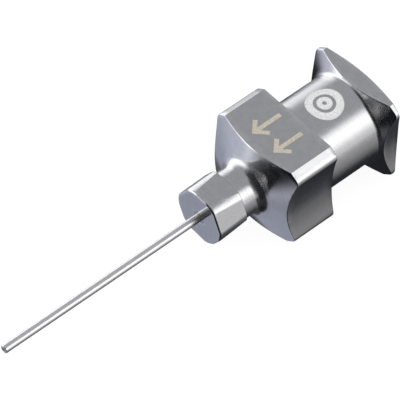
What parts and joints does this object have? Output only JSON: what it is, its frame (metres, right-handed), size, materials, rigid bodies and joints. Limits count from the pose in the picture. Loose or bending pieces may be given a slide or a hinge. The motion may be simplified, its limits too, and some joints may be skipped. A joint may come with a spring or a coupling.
{
  "type": "blunt luer lock needle",
  "caption": "Blunt 26 gauge metal needle: a straight thin tube held in the crimped nose of a turned hub with spanner flats and a lugged female Luer socket.",
  "frame": {"origin": "centre of the Luer mouth, on the needle's axis, in the plane of the mouth's rim", "axes": "+X along the needle's axis, out of the Luer mouth, so the tip points to -X; +Z is the outward normal of the hub's upper flat; the part lies on its lower flats, which face -Z"},
  "size_m": [0.0241, 0.006, 0.0054],
  "materials": {
    "hub_steel": "turned and polished stainless steel, satin flats",
    "tube_steel": "bright drawn stainless tube",
    "seal_metal": "bright sealing metal, slightly dull"
  },
  "bodies": {
    "root": {"hub": "hub_steel", "cannula": "tube_steel", "seal_bead": "seal_metal"}
  },
  "joints": []
}
